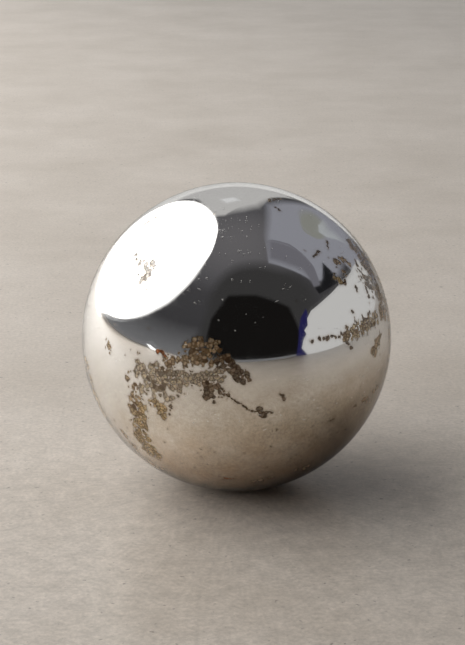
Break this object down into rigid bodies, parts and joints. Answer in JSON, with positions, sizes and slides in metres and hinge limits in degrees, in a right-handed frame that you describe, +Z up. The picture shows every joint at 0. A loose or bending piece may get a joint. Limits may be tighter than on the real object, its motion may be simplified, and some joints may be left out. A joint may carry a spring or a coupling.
{
  "type": "glass ball ornament",
  "caption": "Hollow blown glass ball silvered on the inside, with aged, flaking silver, standing on a flat ground foot whose filling hole a waxed cork closes.",
  "frame": {"origin": "middle of the ground foot, on the surface that the ball stands on", "axes": "+Z is up, along the ball's axis from the filling hole to the crown; the ball is round about it, and the main view looks along +Y"},
  "size_m": [0.1, 0.1, 0.0991],
  "materials": {
    "clear_glass": "clear, polished; matt where the foot is ground",
    "silver": "mirror silver, flaked and tarnished in patches",
    "varnish": "brown shellac, wrinkled where the silver has gone",
    "cork": "natural cork",
    "wax": "dull sealing wax"
  },
  "bodies": {
    "ball": {"glass_ball": "clear_glass", "silver_lining": "silver", "backing_varnish": "varnish"},
    "stopper": {"cork_stopper": "cork", "wax_seal": "wax"}
  },
  "joints": [
    {"name": "stopper_pull", "type": "slide", "parent": "ball", "child": "stopper", "axis": [0, 0, -1], "range_m": [0, 0.018]}
  ]
}
